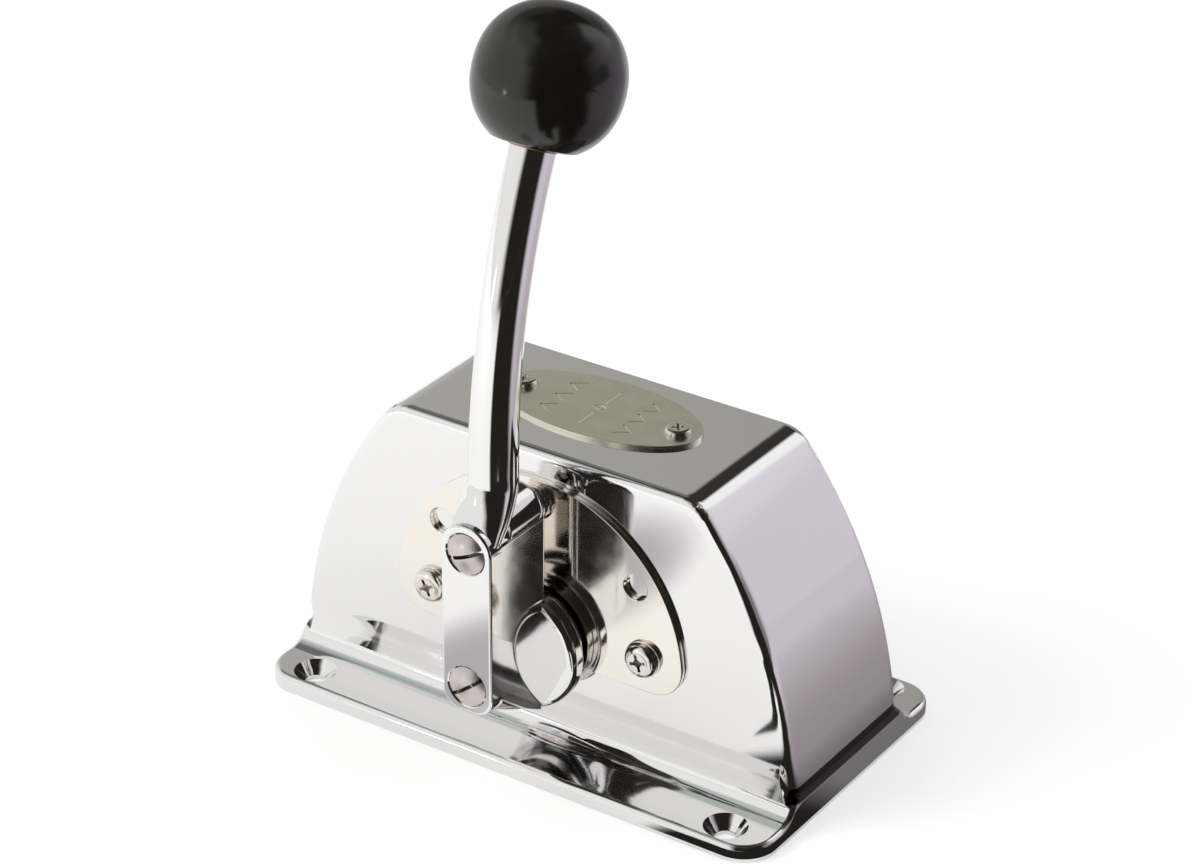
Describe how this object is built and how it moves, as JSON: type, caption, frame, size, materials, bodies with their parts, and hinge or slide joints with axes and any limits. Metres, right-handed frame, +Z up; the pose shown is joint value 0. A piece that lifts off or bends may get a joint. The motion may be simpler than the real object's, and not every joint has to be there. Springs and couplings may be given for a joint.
{
  "type": "boat throttle control lever",
  "caption": "Top-mount single-lever marine throttle and shift control: polished hump housing, side lever with black ball knob, geared shaft and cable arms inside.",
  "frame": {"origin": "centre of the base's underside, midway between the four mounting holes", "axes": "+Z up from the mounting surface, +X along the housing's length, -Y towards the side that carries the lever"},
  "size_m": [0.19, 0.1298, 0.249],
  "materials": {
    "polished_casting": "mirror polished",
    "nickel_plate": "satin nickel",
    "chrome_lever": "mirror polished chrome",
    "chrome_screw": "bright chrome",
    "black_knob": "gloss phenolic",
    "machined_steel": "machined",
    "zinc_plate": "bright zinc",
    "bronze": "machined bronze",
    "seal_rubber": "moulded"
  },
  "bodies": {
    "base": {"housing": "polished_casting", "shaft_bush": "nickel_plate", "legend_plate": "nickel_plate", "legend_screw_1": "chrome_screw", "legend_screw_2": "chrome_screw", "quadrant_plate": "nickel_plate", "quadrant_screw_1": "chrome_screw", "quadrant_screw_2": "chrome_screw", "quadrant_screw_3": "chrome_screw", "gear_spindle": "machined_steel", "spindle_washer": "bronze", "spindle_clip": "machined_steel", "detent_ball": "machined_steel", "detent_spring": "machined_steel"},
    "lever": {"arm": "chrome_lever", "main_shaft": "machined_steel", "shaft_key": "machined_steel", "hub_ring": "seal_rubber", "lever": "chrome_lever", "tongue_screw_upper": "chrome_screw", "tongue_screw_lower": "chrome_screw", "ball_knob": "black_knob", "knob_insert": "bronze", "thrust_washer": "bronze", "drive_gear": "machined_steel", "detent_disc": "machined_steel", "throttle_crank": "zinc_plate", "shaft_clip": "machined_steel"},
    "shift": {"shift_gear": "machined_steel", "shift_arm": "zinc_plate", "shift_pin_1": "machined_steel", "shift_pin_2": "machined_steel"},
    "shift_swivel": {"shift_swivel": "bronze", "shift_swivel_clip": "machined_steel"},
    "throttle_swivel": {"throttle_swivel": "bronze", "throttle_swivel_clip": "machined_steel"}
  },
  "joints": [
    {"name": "lever_swing", "type": "hinge", "parent": "base", "child": "lever", "pos_m": [0, 0, 0.04], "axis": [0, 1, 0], "range_deg": [-75, 75]},
    {"name": "shift_swing", "type": "hinge", "parent": "base", "child": "shift", "pos_m": [0.045, 0, 0.04], "axis": [0, 1, 0], "range_deg": [-50.1, 50.1]},
    {"name": "shift_swivel_turn", "type": "hinge", "parent": "shift", "child": "shift_swivel", "pos_m": [0.073, 0, 0.04], "axis": [0, 1, 0], "range_deg": [-60, 60]},
    {"name": "throttle_swivel_turn", "type": "hinge", "parent": "lever", "child": "throttle_swivel", "pos_m": [0, 0, 0.014], "axis": [0, 1, 0], "range_deg": [-80, 80]}
  ],
  "couplings": [
    {"joint": "shift_swing", "follows": "lever_swing", "ratio": -0.66667}
  ]
}
